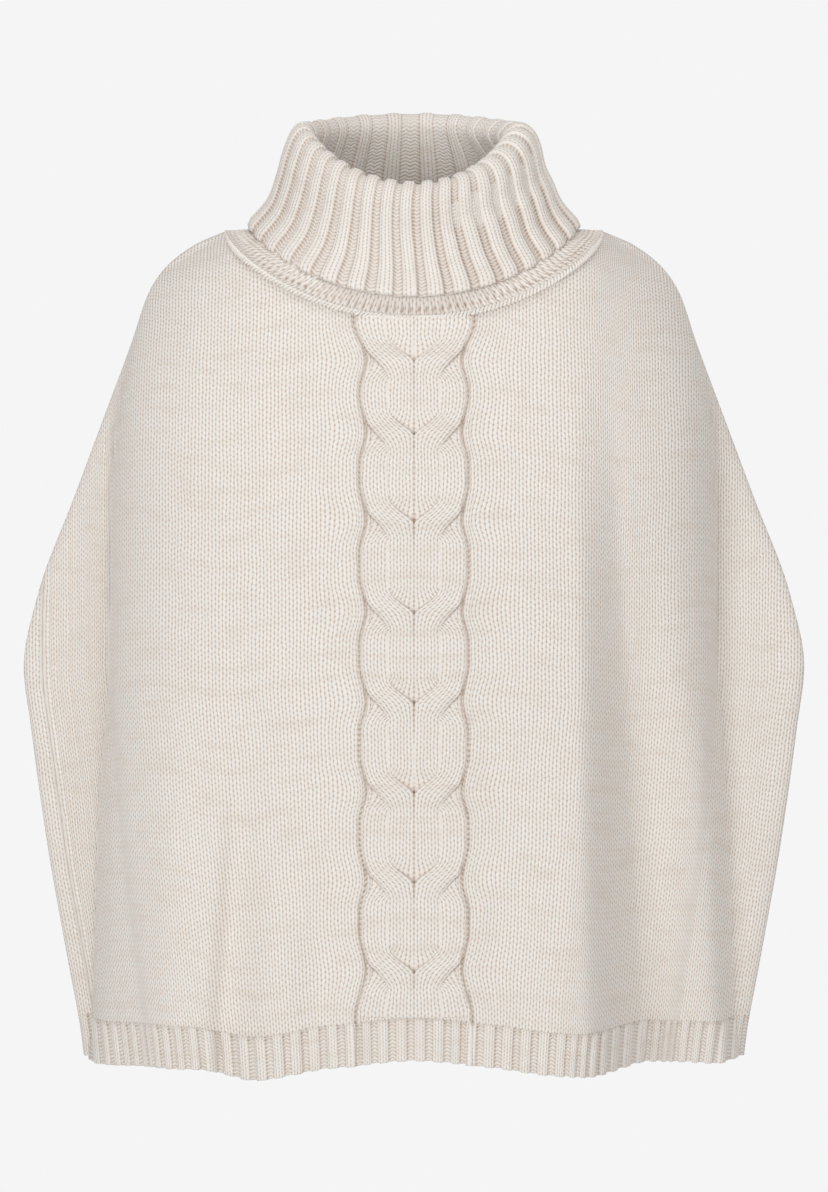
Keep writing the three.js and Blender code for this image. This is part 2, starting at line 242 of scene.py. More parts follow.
def strand_turns(number, edge, z):
    """How far the crossings have turned an edge of a strand at a height: one more for each crossing
    passed. A strand passes in front on its way in, and goes out again behind its neighbour."""
    turns = number
    for k, crossing in enumerate(CROSSINGS):
        way = "front" if (k + number) % 2 == 0 else "back"
        lead, reach = STRAND_MOVES[way][edge]
        turns = turns + ease(crossing + lead - z, 0, reach)
    return turns


def outer_place(turns):
    """0 where a strand lies beside the middle, and 1 where it lies at the edge of the cable."""
    whole = np.floor(turns + 1e-9)
    moving = turns - whole
    return np.where(whole % 2 == 0, 1 - moving, moving)


def crossing_near(z, above, below):
    """1 in the middle of a crossing, and 0 a given distance above and below it."""
    near = 0
    for crossing in CROSSINGS:
        drop = crossing - z
        near = np.maximum(near, np.where(drop < 0, ease(drop, -above, 0), 1 - ease(drop, 0, below)))
    return near


def shelved(side, x, z, body):
    """Past the long fold the cloth of the front comes no further out than the shelf."""
    if side != "front":
        return body
    foot, drop, shelf = (smooth(z, SHELF["z"], SHELF[name]) for name in ("foot", "drop", "out"))
    flat = body / (1 + (body / shelf) ** 8) ** (1 / 8)
    share = np.clip((x - foot) / drop + 1, 0, 1)
    return body + (flat - body) * (share**2 + ease(share)) / 2


def cable_half(z):
    """Half the width of the cable, which draws in at each crossing."""
    pinch = crossing_near(z - 5, 28, 24)
    start = 1 - ease(-z, 70, 105)
    flare = ease(-z, 588, 606)
    return CABLE["half"] - CABLE["pinch"] * pinch + 5 * start + 3 * flare


def ditch(x, z, width):
    """The line of purl stitches beside the cable: 1 along its middle, 0 away from it."""
    return bell((np.abs(x) - cable_half(z) - 1.4) / width)


def cable_rise(side, x, z):
    """The panel rises to the cable and dips in a ditch of purl stitches on each side of it."""
    if side != "front":
        return 0
    edge = cable_half(z)
    broad = 1 - ease(np.abs(x), CABLE["half"] - 12, CABLE["half"] + 26)
    under = 1 - ease(np.abs(x), edge - 5, edge)
    return ease(-z, 64, 74) * (CABLE["rise"] * broad - 3.4 * ditch(x, z, 1.5) - 3.5 * under)


def depth(side, x, z):
    """How far the outside of the cloth stands from the plane of the side seams."""
    half = outline_half(z)
    outline = np.minimum(np.abs(x) / half, 1)
    arms = np.minimum(smooth(z, BODY["z"], BODY["half"]), half)
    within = np.minimum(np.abs(x) / arms, 1)
    fall = smooth(z, BODY["z"], BODY["fall"])
    if side == "front":
        fall = fall + smooth(z, SHELF["z"], SHELF["gentle"]) * ease(x, 120, 200)
    body = smooth(z, BODY["z"], BODY[side]) * (1 - within**BODY_BLUNTNESS) ** fall
    body = shelved(side, x, z, body)
    wing = WING["thickness"] * np.sqrt(1 - outline ** WING["bluntness"])
    fade = 1 - outline**12
    detail = fold_rise(side, x, z) + cable_rise(side, x, z)
    return np.cbrt(body**3 + wing**3) + fade * detail


def out_of(side):
    return -1 if side == "front" else 1


def surface(side, x, z, proud=0.0):
    y = out_of(side) * (SEAM_GAP / 2 + depth(side, x, z) + proud)
    return np.stack(np.broadcast_arrays(x, y, z), axis=-1)


# ---------------------------------------------------------------- grids and meshes


def normals(grid, closed=False):
    """The direction square to a grid of points at each point. A closed grid goes round in rows."""
    if closed:
        round_way = np.roll(grid, -1, axis=0) - np.roll(grid, 1, axis=0)
    else:
        round_way = np.gradient(grid, axis=0)
    down_way = np.gradient(grid, axis=1)
    square = np.cross(round_way, down_way)
    return square / np.maximum(np.linalg.norm(square, axis=-1, keepdims=True), 1e-9)


def edge_normals(grid, side):
    """Normals of a panel, turned into the plane of the side seams along those seams."""
    square = normals(grid)
    square *= np.sign(square[..., 1:2]) * out_of(side)
    flat = np.abs(grid[..., 1]) < SEAM_GAP
    way = np.gradient(grid, axis=0)
    edge = np.zeros_like(flat)
    edge[[0, -1]] = True
    way = np.where(edge[..., None], np.gradient(grid, axis=1), way)
    turned = np.stack([way[..., 2], np.zeros(flat.shape), -way[..., 0]], axis=-1)
    inward = turned[..., 0:1] * grid[..., 0:1] + turned[..., 2:] * (grid[..., 2:] + 400) < 0
    turned *= np.where(inward, -1, 1)
    turned /= np.maximum(np.linalg.norm(turned, axis=-1, keepdims=True), 1e-9)
    return np.where(flat[..., None], turned, square)


def cell_corners(grid):
    """The four corners of every cell of a grid, in order round the cell."""
    return [grid[:-1, :-1], grid[1:, :-1], grid[1:, 1:], grid[:-1, 1:]]


def looped(row):
    return np.concatenate([row, row[:1]])


class Build:
    """Collects points, faces and stitch coordinates for one mesh, with two shares for each point:
    the first is 1 where shade is painted into the colour, as where the cloth is sunk at the
    bottom of a groove, and the second is 1 where purl stitches show in place of knit ones."""

    def __init__(self):
        self.points, self.faces, self.uvs, self.creases, self.purls = [], [], [], [], []
        self.count = 0

    def grid(self, points, uv, crease=0.0, purl=0.0, flip=False, closed=False):
        """Adds a grid of points. Returns the numbers of its points."""
        n, m = points.shape[:2]
        ids = self.count + np.arange(n * m).reshape(n, m)
        self.points.append(points.reshape(-1, 3))
        self.creases.append(np.broadcast_to(crease, (n, m)).reshape(-1))
        self.purls.append(np.broadcast_to(purl, (n, m)).reshape(-1))
        self.count += n * m
        if closed:
            uv = np.concatenate([uv, 2 * uv[-1:] - uv[-2:-1]], axis=0)
            ids_round = looped(ids)
        else:
            ids_round = ids
        quads, corners = cell_corners(ids_round), cell_corners(uv)
        if flip:
            quads, corners = quads[::-1], corners[::-1]
        self.faces.append(np.stack([q.reshape(-1) for q in quads], axis=-1))
        self.uvs.append(np.stack([q.reshape(-1, 2) for q in corners], axis=1))
        return ids

    def strip(self, first, second, uv=(0.0, 0.0), flip=False):
        """Adds faces between two rows of points that are there already."""
        quads = [first[:-1], first[1:], second[1:], second[:-1]]
        if flip:
            quads = quads[::-1]
        self.faces.append(np.stack(quads, axis=-1))
        self.uvs.append(np.tile(np.array(uv, float), (len(first) - 1, 4, 1)))

    def shell(self, outer, inner, uv, crease=0.0, purl=0.0, flip=False):
        """Adds a closed wall between two open grids of the same size."""
        out = self.grid(outer, uv, crease, purl, flip=flip)
        inn = self.grid(inner, uv, flip=not flip)
        for first, second in ((out[:, 0], inn[:, 0]), (inn[:, -1], out[:, -1])):
            self.strip(first, second, uv[0, 0], flip=not flip)
        for first, second in ((out[0], inn[0]), (inn[-1], out[-1])):
            self.strip(first, second, uv[0, 0], flip=flip)

    def ring(self, shown, hidden, uv, uv_hidden, crease=0.0, purl=0.0, flip=False):
        """Adds a closed wall between two grids that go round, which may differ in their rows."""
        out = self.grid(shown, uv, crease, purl, closed=True, flip=flip)
        inn = self.grid(hidden, uv_hidden, closed=True, flip=not flip)
        self.strip(looped(out[:, 0]), looped(inn[:, 0]), uv[0, 0], flip=not flip)
        self.strip(looped(inn[:, -1]), looped(out[:, -1]), uv[0, -1], flip=not flip)

    def mesh(self, name, material):
        points = np.concatenate(self.points) * MM
        faces = np.concatenate(self.faces)
        uvs = np.concatenate(self.uvs)
        mesh = bpy.data.meshes.new(name)
        mesh.vertices.add(len(points))
        mesh.vertices.foreach_set("co", points.reshape(-1))
        mesh.loops.add(faces.size)
        mesh.loops.foreach_set("vertex_index", faces.reshape(-1).astype(np.int32))
        mesh.polygons.add(len(faces))
        mesh.polygons.foreach_set("loop_start", np.arange(0, faces.size, 4, dtype=np.int32))
        mesh.polygons.foreach_set("use_smooth", np.ones(len(faces), bool))
        layer = mesh.uv_layers.new(name="stitch")
        layer.data.foreach_set("uv", uvs.reshape(-1))
        for share, values in (("crease", self.creases), ("purl", self.purls)):
            attribute = mesh.attributes.new(share, "FLOAT", "POINT")
            attribute.data.foreach_set("value", np.concatenate(values).astype(np.float32))
        mesh.update(calc_edges=True)
        mesh.materials.append(material)
        piece = bpy.data.objects.new(name, mesh)
        bpy.context.collection.objects.link(piece)
        return piece


def placed(piece, node):
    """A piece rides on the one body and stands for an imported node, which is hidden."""
    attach(piece, "root")
    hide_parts(node)
    return piece


# ---------------------------------------------------------------- knitted materials


def feed(tree, node, values):
    """Gives a node its inputs in order, each a Num or a plain number."""
    for slot_in, value in zip(node.inputs, values):
        if isinstance(value, Num):
            tree.links.new(value.socket, slot_in)
        else:
            slot_in.default_value = value


class Num:
    """A number made by shader nodes, so that a pattern can be written as a formula."""

    def __init__(self, tree, socket):
        self.tree, self.socket = tree, socket

    def op(self, operation, *others, swap=False):
        node = self.tree.nodes.new("ShaderNodeMath")
        node.operation = operation
        values = [*others, self] if swap else [self, *others]
        feed(self.tree, node, values)
        return Num(self.tree, node.outputs[0])

    def __add__(self, other):
        return self.op("ADD", other)

    def __sub__(self, other):
        return self.op("SUBTRACT", other)

    def __rsub__(self, other):
        return self.op("SUBTRACT", other, swap=True)

    def __mul__(self, other):
        return self.op("MULTIPLY", other)

    def __pow__(self, other):
        return self.op("POWER", other)

    __radd__, __rmul__ = __add__, __mul__

    def fract(self):
        return self.op("FRACT")

    def size(self):
        return self.op("ABSOLUTE")

    def at_least(self, other):
        return self.op("MAXIMUM", other)

    def at_most(self, other):
        return self.op("MINIMUM", other)

    def eased(self, low, high):
        node = self.tree.nodes.new("ShaderNodeMapRange")
        node.interpolation_type = "SMOOTHSTEP"
        self.tree.links.new(self.socket, node.inputs["Value"])
        node.inputs["From Min"].default_value = low
        node.inputs["From Max"].default_value = high
        return Num(self.tree, node.outputs[0])


def between(low, high, share):
    return low + (high - low) * share


class Pattern:
    """Shader nodes for one knitted material, in stitch coordinates: wales across, courses up."""

    def __init__(self, name):
        self.material = bpy.data.materials.new(name)
        self.material.use_nodes = True
        self.tree = self.material.node_tree
        self.tree.nodes.clear()
        uv = self.tree.nodes.new("ShaderNodeUVMap")
        uv.uv_map = "stitch"
        split = self.tree.nodes.new("ShaderNodeSeparateXYZ")
        self.tree.links.new(uv.outputs[0], split.inputs[0])
        self.u, self.v = (Num(self.tree, split.outputs[k]) for k in (0, 1))

    def attribute(self, name):
        node = self.tree.nodes.new("ShaderNodeAttribute")
        node.attribute_name = name
        return Num(self.tree, node.outputs["Fac"])

    def vector(self, x, y, z=0.0):
        node = self.tree.nodes.new("ShaderNodeCombineXYZ")
        feed(self.tree, node, (x, y, z))
        return node.outputs[0]

    def noise(self, x, y, z=0.0, detail=2.0, roughness=0.5):
        node = self.tree.nodes.new("ShaderNodeTexNoise")
        node.inputs["Scale"].default_value = 1.0
        node.inputs["Detail"].default_value = detail
        node.inputs["Roughness"].default_value = roughness
        self.tree.links.new(self.vector(x, y, z), node.inputs["Vector"])
        return Num(self.tree, node.outputs[0])

    def chance(self, x, y):
        node = self.tree.nodes.new("ShaderNodeTexWhiteNoise")
        node.noise_dimensions = "2D"
        self.tree.links.new(self.vector(x, y), node.inputs["Vector"])
        return Num(self.tree, node.outputs[0])

    def blend(self, first, second, share):
        """A colour between two colours, each a socket or (red, green, blue)."""
        node = self.tree.nodes.new("ShaderNodeMix")
        node.data_type = "RGBA"
        colours = [s for s in node.inputs if s.type == "RGBA"]
        for slot_in, value in zip(colours, (first, second)):
            if isinstance(value, tuple):
                slot_in.default_value = (*value, 1)
            else:
                self.tree.links.new(value, slot_in)
        self.tree.links.new(share.socket, node.inputs[0])
        return [s for s in node.outputs if s.type == "RGBA"][0]


RIB_LEG = 1.1  # how much longer the legs of a stitch are in a rib
LEG = {"tilt": math.radians(17), "half_length": 3.1, "half_width": 1.45, "centre": 0.75}
CREAM = (0.875, 0.832, 0.785)
OAT = (0.80, 0.713, 0.63)
# Painted shade between stitches: the colour laid on low yarn, where shade falls between the legs.
GAP_SHADE = (0.58, 0.425, 0.315)
# Painted shade down creases and grooves, darker still.
DEEP_SHADE = (0.44, 0.315, 0.235)


def knit_height(u, v, leg_length):
    """Plain stitches: two slanted legs to a stitch, rounded, each tucked under the next."""
    sine, cosine = math.sin(LEG["tilt"]), math.cos(LEG["tilt"])
    across = ((u.fract() - 0.5).size() - 0.25) * WALE
    height = None
    for shift in (-1, 0, 1):
        up = ((v - LEG["centre"] + 0.5).fract() - 0.5 + shift) * COURSE
        along_leg = (across * sine + up * cosine) * (1 / leg_length)
        across_leg = (across * cosine - up * sine) * (1 / LEG["half_width"])
        dome = (1 - (along_leg * along_leg + across_leg * across_leg)).at_least(0.0)
        height = dome if height is None else height.at_least(dome)
    return height ** 0.6


def purl_height(u, v, narrow):
    """Purl stitches: short bars one above another that meet in shallow chevrons, one chevron across
    two wales where ribs lie close, and one to a wale where they are stretched apart."""
    wide = ((u * 0.5).fract() - 0.5).size() * 1.15
    slant = between(wide, (u.fract() - 0.5).size() * 1.3, narrow)
    wave = ((v + slant).fract() - 0.5).size() * 2.0
    return (1 - wave * wave).at_least(0.0) * 0.8 + narrow * 0.1 + 0.18


def knit_material(name, rib=False):
    pattern = Pattern(name)
    tree = pattern.tree
    crease = pattern.attribute("crease")
    # Stitches wander a little from their straight rows.
    wander = pattern.noise(pattern.u * 0.16, pattern.v * 0.07, 5.0, detail=2.0) - 0.5
    jostle = pattern.noise(pattern.u * 0.7, pattern.v * 0.5, 8.0, detail=1.0) - 0.5
    u = pattern.u if rib else pattern.u + wander * 0.7 + jostle * 0.22
    v = pattern.v + wander * 0.6 + jostle * 0.35
    height = knit_height(u, v, LEG["half_length"] * (RIB_LEG if rib else 1))
    # The yarn between two columns of legs lies low, which draws a faint line down the cloth, both
    # in the bump and in the shade painted on low yarn below.
    line = ((u * 2 + 0.5).fract() - 0.5).size().eased(0.02, 0.24)
    height = height * between(0.82, 1.0, line)
    if not rib:
        bars = ((v + u.size() * 0.7).fract() - 0.5).size() * 2.0
        height = between(height, (1 - bars * bars).at_least(0.0), pattern.attribute("purl"))
    if rib:
        place = (pattern.u * 0.25).fract() * 4
        purl = place.eased(2.0, 2.25) * (1 - place.eased(3.8, 4.0))
        narrow = pattern.attribute("purl")
        height = between(height * 0.92 + 0.04, purl_height(u, v, narrow), purl)
    fibre = pattern.noise(pattern.u * 9.0, pattern.v * 6.0, detail=3.0)
    strength = pattern.chance((u * 2).op("FLOOR"), v.op("FLOOR"))
    height = height * between(0.84, 1.04, strength) + (fibre - 0.5) * 0.3

    streak = pattern.noise(pattern.u * 0.15, pattern.v * 0.42, 3.0, detail=3.0, roughness=0.6)
    patch = pattern.noise(pattern.u * 0.05, pattern.v * 0.09, 11.0, detail=1.0)
    oat = streak.eased(0.42, 0.8) * 0.6 + (patch - 0.5) * 0.3 + (strength - 0.5) * 0.2
    yarn = pattern.blend(CREAM, OAT, oat.at_least(0.0).at_most(1.0))
    # Painted shade: where the yarn lies low between the legs it is coloured darker and browner, as
    # shade falls there.
    gap = 1 - height.eased(0.05, 0.72)
    # Painted shade: down a crease a darker colour is laid as a row of dots, one to a stitch, where
    # shade falls.
    shade_dots = 1 - ((v.fract() - 0.5).size() * 2.0).eased(0.25, 0.95)
    colour = pattern.blend(yarn, GAP_SHADE, (gap * 0.88 + crease * 0.15).at_most(1.0))
    colour = pattern.blend(colour, DEEP_SHADE, (crease * between(0.28, 0.95, shade_dots)).at_most(1.0))

    shader = tree.nodes.new("ShaderNodeBsdfPrincipled")
    tree.links.new(colour, shader.inputs["Base Color"])
    shader.inputs["Roughness"].default_value = 0.92
    shader.inputs["Specular IOR Level"].default_value = 0.18
    shader.inputs["Sheen Weight"].default_value = 0.2
    shader.inputs["Sheen Roughness"].default_value = 0.6
    shader.inputs["Sheen Tint"].default_value = (1.0, 0.98, 0.95, 1)
    bump = tree.nodes.new("ShaderNodeBump")
    bump.inputs["Strength"].default_value = 0.6
    bump.inputs["Distance"].default_value = 1.4 * MM
    tree.links.new(height.socket, bump.inputs["Height"])
    tree.links.new(bump.outputs[0], shader.inputs["Normal"])
    output = tree.nodes.new("ShaderNodeOutputMaterial")
    tree.links.new(shader.outputs[0], output.inputs[0])
    return pattern.material


# ---------------------------------------------------------------- front and back panels


def spread_columns(middle_step, wide_step, covered=0.0):
    """Positions of the columns from one side edge (-1) to the other (1), close where cloth turns
    and wide where it is covered."""
    x, list_x = 0.0, [0.0]
    while x < WING["half"]:
        from_cable, from_side = max(0, x - 56), WING["half"] - x
        step = min(wide_step, middle_step + from_cable * 0.1, 0.5 + from_side * 0.1)
        step = wide_step if x < covered else step
        x += max(step, 0.6)
        list_x.append(x)
    half = np.array(list_x) / list_x[-1]
    return np.concatenate([-half[:0:-1], half])


def stitch_uv(grid, across_wales):
    """Wales across, the same all the way down a column, and courses counted up from the lower edge
    along the cloth."""
    steps = np.linalg.norm(np.diff(grid, axis=1), axis=-1)
    run = np.concatenate([np.zeros((len(grid), 1)), np.cumsum(steps, axis=1)], axis=1)
    v = (run[:, -1:] - run) / COURSE
    u = np.repeat(across_wales[:, None], grid.shape[1], axis=1)
    return np.stack([u, v], axis=-1)


def wale_count(side, across):
    """Wales from the middle to each column, measured along the cloth half way down."""
    heights = np.linspace(-180, -600, 12)
    runs = []
    for z in heights:
        points = surface(side, column_x(across, z), np.full(across.shape, z))
        points[:, 1] -= out_of(side) * fold_rise(side, points[:, 0], z)
        lengths = np.linalg.norm(np.diff(points, axis=0), axis=-1)
        run = np.concatenate([[0], np.cumsum(lengths)])
        runs.append(run - np.interp(0, across, run))
    return np.mean(runs, axis=0) / WALE


def panel(side, material, middle_step, wide_step, covered, rows):
    across = spread_columns(middle_step, wide_step, covered)
    share = np.linspace(0, 1, rows) ** 1.2
    top = top_z(side, across * WING["half"])[:, None]
    bottom = (hem_z(side, across) + HEM_HEIGHT - 1.5)[:, None]
    z = top + (bottom - top) * share
    x = column_x(across[:, None], z)
    grid = surface(side, x, z)
    inner = grid - edge_normals(grid, side) * WALL["panel"]
    uv = stitch_uv(grid, wale_count(side, across))
    crease = purl = 0.0
    if side == "front":
        # The wales beside the cable bow in and out with its edge.
        bow = (cable_half(z) - CABLE["half"]) * bell((np.abs(x) - CABLE["half"]) / 26)
        uv[..., 0] -= np.sign(x) * bow / WALE
        # Painted shade along the ditch of purl stitches beside the cable.
        crease = ditch(x, z, 0.8)
        beside = np.abs(x) - cable_half(z)
        purl = 0.75 * ease(beside, -1, 0.5) * (1 - ease(beside, 1.2, 2.6))
    build = Build()
    build.shell(grid, inner, uv, crease, purl, flip=side == "front")
    return placed(build.mesh(f"{side}_panel", material), side)


# ---------------------------------------------------------------- cable


def strand(number, mirror):
    """One strand of the cable: a flat cord that runs straight, then crosses its neighbour in front
    on the way in and behind it on the way out."""
    z = np.linspace(CABLE["top_z"], CABLE["end_z"], 420)
    inner_turns, outer_turns = (strand_turns(number, edge, z) for edge in ("inner", "outer"))
    turns = (inner_turns + outer_turns) / 2
    whole = np.floor(turns + 1e-9)
    moving = turns - whole
    crossing = 4 * moving * (1 - moving)
    front = np.where(whole % 2 == 0, crossing, -crossing)
    after = crossing_near(z, 9, 24)
    half = cable_half(z)
    inner_x = np.maximum(outer_place(inner_turns) * half / 2 - 0.7, 0)
    outer_x = half / 2 + outer_place(outer_turns) * half / 2 + 0.7
    centre = (inner_x + outer_x) / 2

    t = np.sin(np.linspace(-1, 1, 17) * math.pi / 2)[None, :]
    x = inner_x[:, None] + (t + 1) / 2 * (outer_x - inner_x)[:, None]
    zz = z[:, None] + np.zeros_like(x)
    outer_side = ease(outer_place(turns), 0.45, 1)[:, None]
    # How far each edge of the strand falls: fully at the ditch, a little where strands lie side by
    # side, and more round a crossing.
    shared = 0.3 + 4.6 * np.maximum(crossing, 0.5 * after)[:, None]
    middle_fall = 0.15 + 1.7 * after[:, None]
    fall_out = shared + (6.0 - shared) * outer_side
    fall_in = shared + (middle_fall - shared) * (1 - outer_side)
    deep = np.where(t > 0, fall_out, fall_in)
    lift = 4.0 + 2.9 * np.maximum(front, 0)[:, None] + 2.2 * np.minimum(front, 0)[:, None]
    lift = lift * between(0.3, 1, ease(z, CABLE["end_z"], CABLE["end_z"] + 16))[:, None]
    proud = lift - deep * np.abs(t) ** 4
    # Painted shade where an edge of the strand falls deep, at the ditch and round a crossing.
    crease = np.clip(deep / 5.5, 0, 1) * ease(np.abs(t), 0.86, 1.0)
    steps = np.concatenate([[0], np.cumsum(np.hypot(np.diff(centre), np.diff(z)))])
    u = (t + 1) / 2 * STRAND_WALES + np.zeros_like(x)
    v = np.repeat(-steps[:, None] / COURSE, t.shape[1], axis=1)
    sign = -1 if mirror else 1
    top = surface("front", sign * x, zz, proud)
    base = surface("front", sign * x, zz, np.minimum(proud - 2.5, -0.5))
    return top, base, np.stack([u, v], axis=-1), crease


def cable(material):
    build = Build()
    for mirror in (False, True):
        for number in (0, 1):
            top, base, uv, crease = strand(number, mirror)
            build.shell(top, base, uv, crease, flip=mirror)
    piece = build.mesh("cable_strands", material)
    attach(piece, "root")
    return piece


# ---------------------------------------------------------------- ribs


def rib_shape(phase, knit):
    """Height of a 2x2 rib, which repeats with each whole number: round knit wales and a groove."""
    place = phase - np.floor(phase)
    rise = ease(place, 0, 0.1) * (1 - ease(place, knit - 0.06, knit + 0.03))
    crown = np.sin(np.clip(place / knit, 0, 1) * math.pi)
    return 0.75 * rise + 0.25 * crown * rise


def rib_wale(phase, knit):
    """The stitch across a rib: two knit wales fill its raised part and two purl ones the groove."""
    whole, place = np.floor(phase), phase - np.floor(phase)
    within = np.where(place < knit, 2 * place / knit, 2 + 2 * (place - knit) / (1 - knit))
    return 4 * whole + within


def rib_crease(phase, knit):
    """Shade in a groove, deepest against the foot of the knit wales."""
    place = phase - np.floor(phase)
    groove = ease(place, knit - 0.06, knit + 0.04) * (1 - ease(place, 0.97, 1.0))
    near_foot = bell((place - 1) / 0.035) + bell(place / 0.035)
    far_foot = bell((place - knit - 0.01) / 0.05)
    return 0.2 * groove + 0.95 * (far_foot + 0.6 * near_foot)


def hem(side, material):
    base = spread_columns(1.15, 1.15)
    ribs = wale_count(side, base) * WALE / RIBS["hem_pitch"]
    knit = RIBS["hem_knit"]
    rows = np.linspace(0, 1, 26)
    low = hem_z(side, base)[:, None]
    top = low + HEM_HEIGHT
    relief = rib_shape(ribs, knit)[:, None]
    scallop = 0.8 * relief * ease(rows, 0.9, 1)
    z = top + (low + 0.8 - top) * rows - scallop
    x = column_x(base[:, None], z)
    grown = ease(rows, 0.0, 0.1) * (1 - 0.4 * ease(rows, 0.93, 1))
    inside = 1 - np.abs(base)[:, None] ** 40
    grid = surface(side, x, z)
    square = edge_normals(grid, side)
    pull = -0.6 * bell(rows / 0.05)
    proud = (relief * RIBS["hem_relief"] - 1.8) * grown + 0.9 + pull
    grid = grid + square * (proud * inside)[..., None]
    inner = grid - square * WALL["hem"]
    v = (1 - rows)[None, :] * HEM_HEIGHT / RIBS["course"] + np.zeros_like(x)
    uv = np.stack([np.repeat(rib_wale(ribs, knit)[:, None], len(rows), axis=1), v], axis=-1)
    # Painted shade in the grooves of the rib, darkest along its upper edge where it joins the
    # panel.
    crease = rib_crease(ribs, knit)[:, None] * (0.42 + 0.9 * bell(rows / 0.1))
    build = Build()
    build.shell(grid, inner, uv, np.minimum(crease, 1), flip=side == "front")
    return placed(build.mesh(f"{side}_hem_rib", material), f"hem_{side}")


# ---------------------------------------------------------------- collar and neckband


def ring_point(row, turn):
    ahead = np.cos(turn)
    reach = np.where(ahead > 0, -row["front"], -row["back"])
    end = np.where(ahead > 0, row["front_z"], row["back_z"])
    z = row["side_z"] + (end - row["side_z"]) * np.abs(ahead) ** NECK["curve"]
    x = row["half"] * np.sin(turn) - row["roll"] * ease(np.sin(turn), 0.1, 0.9)
    return np.stack(np.broadcast_arrays(x, reach * ahead, z), axis=-1)


def collar_middle(turn, rows):
    """Points of the middle of the collar's wall, turn by turn, at rows along the folded strip."""
    knots = np.arange(len(COLLAR["half"]))
    steps = np.hypot(np.diff(COLLAR["half"]), np.diff(COLLAR["side_z"]))
    run = np.concatenate([[0], np.cumsum(steps)])
    at = np.interp(rows, run / run[-1], knots)
    fine = {}
    for name, column in COLLAR.items():
        fine[name] = rounded_line(at, column)[None, :]
    return ring_point(fine, turn[:, None])


def rounded_line(at, values):
    """A Catmull-Rom line through values one step apart."""
    padded = np.concatenate([[2 * values[0] - values[1]], values, [2 * values[-1] - values[-2]]])
    i = np.clip(np.floor(at).astype(int), 0, len(values) - 2)
    t = at - i
    a, b, c, d = (padded[i + k] for k in range(4))
    return b + 0.5 * t * (c - a + t * (2 * a - 5 * b + 4 * c - d + t * (3 * (b - c) + d - a)))


def collar(material):
    count = RIBS["collar"] * 24
    turn = np.arange(count) / count * 2 * math.pi
    behind = ease(-np.cos(turn), -0.2, 0.7)
    knit = between(RIBS["collar_knit"], RIBS["back_knit"], behind)
    behind = behind[:, None]
    knit = knit[:, None]
    # The face that shows runs up inside the neck, over the fold and down outside.
    rows = np.linspace(0, 1, 100)
    phase = RIBS["collar"] * (turn + RIBS["crowding"] * np.sin(turn)) / (2 * math.pi) + 0.62
    outside = ease(rows, 0.5, 0.62)
    sway = np.sin(3.1 * turn + 0.6)[:, None] * np.sin((rows - 0.5) * 9.5) * outside
    phase = phase[:, None] + 0.16 * sway + 0.05 * np.sin(7 * turn)[:, None] * outside
    ribs = rib_shape(phase, knit)
    middle = collar_middle(turn, rows)
    square = -normals(middle, closed=True)
    at_fold = bell((rows - 0.52) / 0.14)
    relief = RIBS["collar_relief"] * (1 - 0.45 * behind) * (1 - 0.3 * at_fold * (0.5 + behind))
    # Under the fold the collar sinks in, most on one side of the front.
    under = ease(np.sin(turn), 0.0, 0.5)[:, None] * (1 - behind) * bell((rows - 0.69) / 0.08)
    middle = middle - square * (4.5 * under)[..., None]
    relief = relief * (1 + 0.5 * under)
    edge = ease(rows, 0.975, 1.0)
    shown = middle + square * (WALL["collar"] / 2 + relief * (ribs - 0.6) - 1.2 * edge)[..., None]
    bump = 0.5 + 0.5 * np.cos(2 * math.pi * 4 * phase)
    shown[..., 2] -= edge * (1.5 * bump + 0.7 * ribs)
    hidden_rows = np.linspace(0, 1, 28)
    hidden = collar_middle(turn, hidden_rows)
    hidden = hidden + normals(hidden, closed=True) * WALL["collar"] / 2
    steps = np.linalg.norm(np.diff(middle, axis=1), axis=-1).mean(axis=0)
    v = np.concatenate([[0], np.cumsum(steps)]) / RIBS["course"]
    u = rib_wale(phase, knit)
    uv = np.stack(np.broadcast_arrays(u, v[None, :]), axis=-1)
    v_hidden = np.interp(hidden_rows, rows, v)[None, :]
    uv_hidden = np.stack(np.broadcast_arrays(-u[:, :1], v_hidden), axis=-1)
    # Painted shade in the grooves: light inside the neck, stronger down the outside, and strongest
    # on the side of the front that turns away from the light.
    shaded = 0.4 + (0.2 + 1.1 * ease(np.sin(turn), -0.2, 0.7)[:, None]) * outside
    crease = np.minimum(rib_crease(phase, knit) * (1 - 0.4 * at_fold) * shaded, 1)
    build = Build()
    build.ring(shown, hidden, uv, uv_hidden, crease, behind, flip=True)
    return placed(build.mesh("roll_collar", material), "collar")


def neck_seam(turn):
    """The line where the neckband is picked up from the panels."""
    x = NECK["half"] * np.sin(turn)
    front = np.cos(turn) > 0
    z = np.where(front, top_z("front", x), top_z("back", x))
    ahead = surface("front", x, z)
    behind = surface("back", x, z)
    return np.where(front[:, None], ahead, behind)


